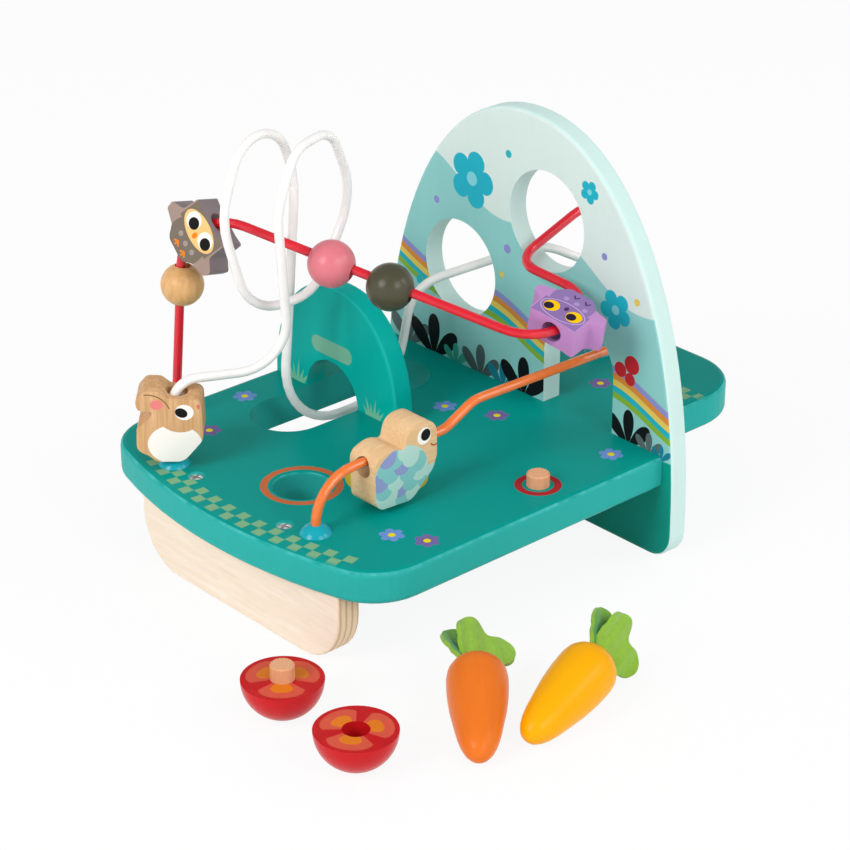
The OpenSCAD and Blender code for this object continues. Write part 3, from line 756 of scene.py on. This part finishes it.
def finishOwl(plan, owl):
    f = Finish(owl["name"], satin)
    where, x, y, face = faceOf(f, rideFrame(owl))
    colour = f.mix(face, owl["side"], owl["wings"])
    front = oval(f, x, y, *plan["body"]) | box2(f, x, y, *plan["chest"])
    colour = f.mix(front & face, colour, owl["front"])
    for at, radii, ink in owl["ovals"]:
        colour = f.mix(oval(f, x, y, at, radii) & face, colour, ink)
    colour = eyes(f, colour, x, y, face, owl["eyes"])
    at, radii, ink = owl["beak"]
    colour = f.mix(oval(f, x, y, at, radii) & face, colour, ink)
    for at in owl["spots"]:
        colour = f.mix(disc(f, x, y, at, plan["spot"]) & face, colour, owl["spotInk"])
    colour = toes(f, colour, x, y, face, owl["toes"])
    return paintedWood(f, colour, where, plan["grain"], rough=0.36, peel=0.04, ghost=0.08)


for node in ("grey_owl", "purple_owl"):
    bm = mergedCopy(node)
    easeEdges(bm, animalEdge)
    addPiece(node + "_eased", bm, finishOwl(owlPaint, owlPaint[node]), node)

turtlePrint = {
    "frame": standing((46, -141, 85.3), 90),
    "wood": ("#ECCBA2", "#DFB888"),
    "grain": (40, 1.2, 1.6),
    "shell": ((-3.0, -6.0), (17.6, 14.9)),
    "skirt": -7.0,  # the shell spreads to the edge below this
    "scale": 5.7,
    "scales": [(-19.0, -20.0, 1), (-4.4, -20.6, 1), (5.6, -18.0, 2), (13.4, -13.0, 1), (18.0, -8.6, 2),
               (-12.4, -21.6, 2), (-19.6, -14.0, 2), (-3.9, -13, 0), (3.2, -11.4, 1), (-11.0, -15.2, 2),
               (-14.6, -11.2, 1), (9.4, -7.8, 2), (-6.3, -8.6, 2), (1.6, -6.2, 1), (-16.6, -6.2, 0),
               (-9.6, -3.4, 1), (8.2, -2.6, 1), (-2.4, -1.0, 0), (-13.4, 0.6, 1), (3.4, 1.6, 2),
               (-6.6, 3.6, 1), (0.4, 5.8, 2), (-11.8, 5.6, 0)],  # place and ink, each over the ones before
    "inks": ["#8F9CC8", "#84C4C2", "#B3D8CE"],
    "eyes": {"at": [(12.4, 10)], "white": "#FBF7EE", "iris": "#1C1A1A",
             "radius": 4.6, "pupil": 3.2, "shift": (1.0, 0.4)},
    "smile": {"at": (19.6, 6.0), "radius": 3.2, "width": 0.8, "below": 4.4, "ink": "#B5322F"},
}


def finishTurtle(plan):
    f = Finish("printedTurtleWood", satin)
    where, x, y, face = faceOf(f, plan["frame"])
    bareWood(f, plan["wood"], where, plan["grain"], rough=0.42)
    shell = (oval(f, x, y, *plan["shell"]) | f.within(y - plan["skirt"], 0.3)) & face
    colour = f.mix(shell, f.fedColour(), plan["inks"][2])
    for sx, sy, ink in plan["scales"]:
        colour = f.mix(disc(f, x, y, (sx, sy), plan["scale"]) & shell, colour, plan["inks"][ink])
    colour = eyes(f, colour, x, y, face, plan["eyes"])
    smile = plan["smile"]
    curve = ring(f, x, y, smile["at"], smile["radius"], smile["width"]) & f.within(y - smile["below"], 0.3)
    return f.feed(baseColor=f.mix(curve & face, colour, smile["ink"]))


bm = mergedCopy("turtle")
easeEdges(bm, animalEdge)
addPiece("turtle_eased", bm, finishTurtle(turtlePrint), "turtle")

rabbitPrint = {
    "frame": standing(Vector(jointOf["rabbit_spin"]["pos_m"]) * 1000, 48),
    "wood": ("#E2B98D", "#C89A6B"),
    "grain": (1.5, 32, 2.0),
    "belly": ((-1.0, -8.7), (14.0, 11.2)),
    "head": ((1.9, 11.1), 12.8),  # the belly's fur stops at the head
    "fur": "#F6F1EA",
    "fold": {"at": (-14.4, 7.6), "radius": 11.8, "width": 0.7, "above": 11.6, "rightOf": -16.0,
             "ink": "#8A6646"},
    "cheek": ((-9.7, 13.8), (3.4, 2.7), 0.0, "#E8837F"),
    "features": [((4.3, 9.6), (4.7, 4.3), 0.0, "#FBF7EE"), ((2.7, 9.3), (3.3, 2.6), -25.0, "#1C1A1A"),
                 ((11.6, 12.8), (1.0, 1.4), 0.0, "#D9776B")],  # eye, pupil and nose
}
rabbitNotch = {"drop": 5.0, "left": -11.5, "low": -4.0, "high": 9.2, "fade": 6.0, "span": 12.0}


def openNotch(bm, matrix, plan):  # lowers the rabbit's shoulder under its ear
    into = matrix.inverted()
    for v in bm.verts:
        local = into @ (v.co * 1000)
        if local.x < plan["left"] and plan["low"] < local.y < plan["high"]:
            fade = min(1.0, (plan["left"] - local.x) / plan["fade"])
            local.y -= plan["drop"] * fade * (local.y - plan["low"]) / plan["span"]
            v.co = (matrix @ local) / 1000


def finishRabbit(plan):
    f = Finish("printedRabbitWood", satin)
    where, x, y, face = faceOf(f, plan["frame"])
    bareWood(f, plan["wood"], where, plan["grain"], rough=0.42)
    belly = oval(f, x, y, *plan["belly"]) & (1.0 - disc(f, x, y, *plan["head"]))
    colour = f.mix(belly & face, f.fedColour(), plan["fur"])
    at, radii, turn, ink = plan["cheek"]
    colour = f.mix(oval(f, x, y, at, radii, turn) & face, colour, ink)
    fold = plan["fold"]
    crease = ring(f, x, y, fold["at"], fold["radius"], fold["width"])
    crease = crease & f.within(fold["above"] - y, 0.3) & f.within(fold["rightOf"] - x, 0.3)
    colour = f.mix(crease & face, colour, fold["ink"])
    for at, radii, turn, ink in plan["features"]:
        colour = f.mix(oval(f, x, y, at, radii, turn) & face, colour, ink)
    return f.feed(baseColor=colour)


bm = mergedCopy("rabbit")
openNotch(bm, rabbitPrint["frame"], rabbitNotch)
easeEdges(bm, animalEdge)
addPiece("rabbit_eased", bm, finishRabbit(rabbitPrint), "rabbit")
print("animals printed")

# play vegetables

tomatoPaint = {
    "skin": "#C8191F",
    "cut": "#C4151B",
    "cutAbove": 19.7,
    "chambers": 3,
    "lobes": [(18.0, 0.8, "#D6553F"), (13.2, 0.54, "#E07A1A")],  # reach, half angle and ink
    "turns": {"tomato_peg_half": -42, "tomato_hole_half": -56},
}


def finishTomato(node, plan, turn):
    f = Finish("glossTomato_" + node, {"Specular IOR Level": 0.18})
    at = middle(node)
    where = f.place(Matrix.Translation((at.x, at.y, 0)))
    x, y, z = f.split(where)
    cut = f.within(0.9 - f.facing()[2], 0.05) & f.within(plan["cutAbove"] - z, 0.3)
    r = hypot(x, y)
    colour = f.mix(cut, plan["skin"], plan["cut"])
    for k in range(plan["chambers"]):
        u, v = aligned(x, y, (0, 0), turn + 360 / plan["chambers"] * k)
        spread = abs(v.calc("ARCTAN2", v, u))
        for reach, half, ink in plan["lobes"]:
            lobe = f.within(r - reach + (spread / half) ** 4.0 * 2.6, 0.4) & f.within(spread - half, 0.03)
            colour = f.mix(lobe & cut, colour, ink)
    flow = f.noise(where, 14, 3.0)
    peel = f.noise(where, 1.1)
    f.feed(baseColor=f.shade(colour, flow.swing(0.16)), roughness=flow * 0.2 + 0.16,
           normal=f.bump(peel, 0.04))
    wear(node, f)


for node, turn in tomatoPaint["turns"].items():
    finishTomato(node, tomatoPaint, turn)

carrotShape = {
    "full": 27.6, "radius": 14.8, "tip": 7.5, "long": 69.0, "crown": 13.0,  # the CAD root that it lies in
    "profile": [(0, 0), (3.5, 0.12), (7.1, 1), (10.4, 3), (13.05, 6), (14.45, 9), (15.0, 13), (14.95, 18),
                (14.75, 23), (14.3, 28), (13.6, 34), (12.55, 40), (11.5, 46), (10.35, 52), (9.0, 57),
                (7.3, 61.2), (5.2, 64.4), (2.8, 66.3), (0, 67)],  # radius and distance from the crown
    "grain": (3, 3, 30),
    "shoulder": 2.5,  # a little darker from here to the crown
    "carrot_orange": {"at": (150, -180), "heading": -42, "roll": 60, "paint": "#E67522"},
    "carrot_yellow": {"at": (179, -136), "heading": -76, "roll": 20, "paint": "#F4AB00"},
}


def lyingFrame(carrot, plan):  # a carrot's own frame, its axis down the root
    tilt = math.atan((plan["radius"] - plan["tip"]) / (plan["long"] - plan["full"]))
    wide = plan["radius"] + plan["full"] * math.tan(tilt)
    rise = wide * math.cos(tilt) - plan["crown"] * math.sin(tilt)
    lying = Euler((0, math.radians(90) + tilt, math.radians(carrot["heading"])), "XYZ").to_matrix().to_4x4()
    return Matrix.Translation((*carrot["at"], rise)) @ lying @ Matrix.Translation((0, 0, -plan["crown"]))


def finishCarrot(node, carrot, plan, matrix):
    f = Finish("satinCarrot_" + node, {"Specular IOR Level": 0.14})
    where = f.place(matrix)
    z = f.split(where)[2]
    turning = f.noise(f.join(0.0, 0.0, z * 1.4), 1.0, 3.0)
    paintedWood(f, carrot["paint"], where, plan["grain"], rough=0.32, peel=0.04, ghost=0.1)
    crown = ((plan["shoulder"] - z) * 0.2).clamped()
    return f.feed(baseColor=f.shade(f.fedColour(), turning.swing(0.1) - crown * 0.12))


feltLeaf = {
    "long": 24.4,
    "lobes": 15.6,  # between the middles of the two lobes
    "lobe": 16.4,  # across one lobe
    "notch": 20.4,  # height of the dip between them
    "sunk": 2.0,  # depth in the crown, half width there and slope of the sides
    "stem": 5.5,
    "flare": 1.25,
    "turns": {-1: 3.0, 1: -14.0},
    "spread": 26.0,
    "thick": 2.6,
    "curl": 1.6,
    "ripple": 0.5,
    "light": "#86B81E",
    # painted shade for the insides of the two leaves
    "shadedGreen": "#1B963C",
}


def heartEdges(plan, x):  # the heart's lower and upper edge at a place across it
    half, lobe = plan["lobes"] / 2, plan["lobe"] / 2
    a = abs(x)
    arc = math.sqrt(max(lobe * lobe - (a - half) ** 2, 0.0))
    upper = plan["long"] - lobe + arc
    if a < half:  # a shallow rounded dip between the lobes
        upper = plan["notch"] + (plan["long"] - plan["notch"]) * (0.5 - 0.5 * math.cos(math.pi * a / half))
    lower = max(0.0, (a - plan["stem"]) * plan["flare"]) - plan["sunk"]
    if a > half + lobe * 0.6:
        lower = max(lower, plan["long"] - lobe - arc)
    return lower, upper


def heartLeaf(bm, plan, place, side):  # one felt heart, from a grid pressed into the outline and curled
    made = bmesh.ops.create_grid(bm, x_segments=36, y_segments=14, size=1.0)["verts"]
    wide = (plan["lobes"] + plan["lobe"]) / 2 - 0.02
    for v in made:
        x = wide * math.sin(v.co.x * math.pi / 2)
        lower, upper = heartEdges(plan, x)
        y = lower + (upper - lower) * (v.co.y + 1) / 2
        bow = (x / wide) ** 2 - 0.8 * (max(y, 0) / plan["long"]) ** 2
        wave = plan["ripple"] * math.sin(x * 0.5 + y * 0.25 + side)
        v.co = Vector((x, y, plan["curl"] * side * bow + wave))
    bmesh.ops.transform(bm, matrix=place, verts=made)


def finishFelt(node, plan, matrix):
    f = Finish("woolFelt_" + node, {"Sheen Weight": 0.35, "Sheen Roughness": 0.6})
    where = f.place(matrix)
    _, y, z = f.split(where)
    fuzz = f.noise(where, 0.55, 4.0, 0.7)
    clump = f.noise(where, 2.6, 3.0)
    inward = f.facing(matrix)[1] * y.calc("SIGN", y)
    innerShade = f.within(inward + 0.35, 0.3) * (z / 24.0 + 1.15).clamped()  # painted shade between the two leaves, deeper towards the root
    colour = f.mix(innerShade, plan["light"], plan["shadedGreen"])
    return f.feed(baseColor=f.shade(colour, fuzz.swing(0.9) + clump.swing(0.35, 0.0)),
                  roughness=fuzz * 0.1 + 0.85, normal=f.bump(fuzz + clump * 0.5, 0.25))


def addLeaves(node, carrot, plan, matrix):
    bm = bmesh.new()
    rolled = matrix @ spun(carrot["roll"], "Z")
    for side, turn in plan["turns"].items():
        lean = spun(-90 + side * plan["spread"] / 2, "X") @ spun(turn, "Z")
        heartLeaf(bm, plan, Matrix.Scale(0.001, 4) @ rolled @ lean, side)
    bmesh.ops.remove_doubles(bm, verts=bm.verts, dist=2e-6)
    bmesh.ops.dissolve_degenerate(bm, dist=1e-6, edges=bm.edges)
    flat = sum(face.calc_area() for face in bm.faces)
    bmesh.ops.solidify(bm, geom=bm.faces, thickness=plan["thick"] / 1000)
    bmesh.ops.recalc_face_normals(bm, faces=bm.faces)
    piece = addPiece(node + "_felt", bm, finishFelt(node, plan, rolled), node, 70.0)


for node in ("carrot_orange", "carrot_yellow"):
    carrot = carrotShape[node]
    matrix = lyingFrame(carrot, carrotShape)
    bm = bmesh.new()
    lathe(bm, carrotShape["profile"], 64)
    finish = finishCarrot(node, carrot, carrotShape, matrix)
    addPiece(node + "_root", closeLathe(bm, matrix), finish, node, 60.0)
    addLeaves(node + "_leaves", carrot, feltLeaf, matrix)
print("vegetables finished")

# floor, world and lamps

studio = {
    "world": 0.5,
    # white low down and dimmer above, by the height of the view
    "overhead": {"From Min": 0.2, "From Max": 0.42, "To Min": 1.0, "To Max": 0.25},
    "floor": 0.9,  # share of its own white that is seen
    "floorWhite": (0.93, 0.93, 0.93, 1.0),
    "floorSize": 8.0,
    "aim": (0, -0.06, 0.08),
    "lamps": [((0.0, -2.18, 1.42), 1.1, 31.0), ((2.24, -0.2, 1.3), 1.1, 19.0),
              ((1.9, 1.5, 1.5), 0.9, 12.0)],  # place, size and power
}


def seenDirect(tree):  # 1 for camera, glossy and transmission rays
    path = tree.nodes.new("ShaderNodeLightPath")
    total = path.outputs["Is Camera Ray"]
    for name in ("Is Glossy Ray", "Is Transmission Ray"):
        add = tree.nodes.new("ShaderNodeMath")
        add.operation = "MAXIMUM"
        tree.links.new(total, add.inputs[0])
        tree.links.new(path.outputs[name], add.inputs[1])
        total = add.outputs[0]
    return total


def addWorld(plan):
    world = bpy.data.worlds.new("studioWorld")
    scene.world = world
    world.use_nodes = True
    tree = world.node_tree
    back = tree.nodes["Background"]
    back.inputs["Color"].default_value = (1, 1, 1, 1)
    coords = tree.nodes.new("ShaderNodeTexCoord")
    axes = tree.nodes.new("ShaderNodeSeparateXYZ")
    tree.links.new(coords.outputs["Generated"], axes.inputs[0])
    seen = tree.nodes.new("ShaderNodeMapRange")
    tree.links.new(axes.outputs["Z"], seen.inputs["Value"])
    for name, value in plan["overhead"].items():
        seen.inputs[name].default_value = value
    level = tree.nodes.new("ShaderNodeMapRange")
    tree.links.new(seenDirect(tree), level.inputs["Value"])
    level.inputs["To Min"].default_value = plan["world"]
    tree.links.new(seen.outputs[0], level.inputs["To Max"])
    tree.links.new(level.outputs[0], back.inputs["Strength"])


def addFloor(plan):
    matt = {"Base Color": plan["floorWhite"], "Roughness": 0.9, "Specular IOR Level": 0.0}
    f = Finish("whiteFloor", matt)
    glow = f.node("ShaderNodeEmission", None, {"Strength": 1.0})
    share = Field(f, seenDirect(f.tree)) * plan["floor"]
    lit = Field(f, f.shader.outputs[0])
    blend = f.node("ShaderNodeMixShader", None, {0: share, 1: lit, 2: glow})
    f.tree.links.new(blend.socket, f.tree.nodes["Material Output"].inputs["Surface"])
    bm = bmesh.new()
    bmesh.ops.create_grid(bm, x_segments=1, y_segments=1, size=plan["floorSize"])
    data = bpy.data.meshes.new("floor")
    bm.to_mesh(data)
    bm.free()
    data.materials.append(f.material)
    floor = bpy.data.objects.new("floor", data)
    scene.collection.objects.link(floor)


def addLamps(plan):
    for i, (at, size, power) in enumerate(plan["lamps"]):
        lamp = bpy.data.lights.new("softbox%d" % i, "AREA")
        lamp.shape, lamp.size, lamp.energy = "SQUARE", size, power
        box = bpy.data.objects.new("softbox%d" % i, lamp)
        box.location = at
        box.rotation_euler = (Vector(plan["aim"]) - Vector(at)).to_track_quat("-Z", "Y").to_euler()
        scene.collection.objects.link(box)


addWorld(studio)
addFloor(studio)
addLamps(studio)
print("studio lit")
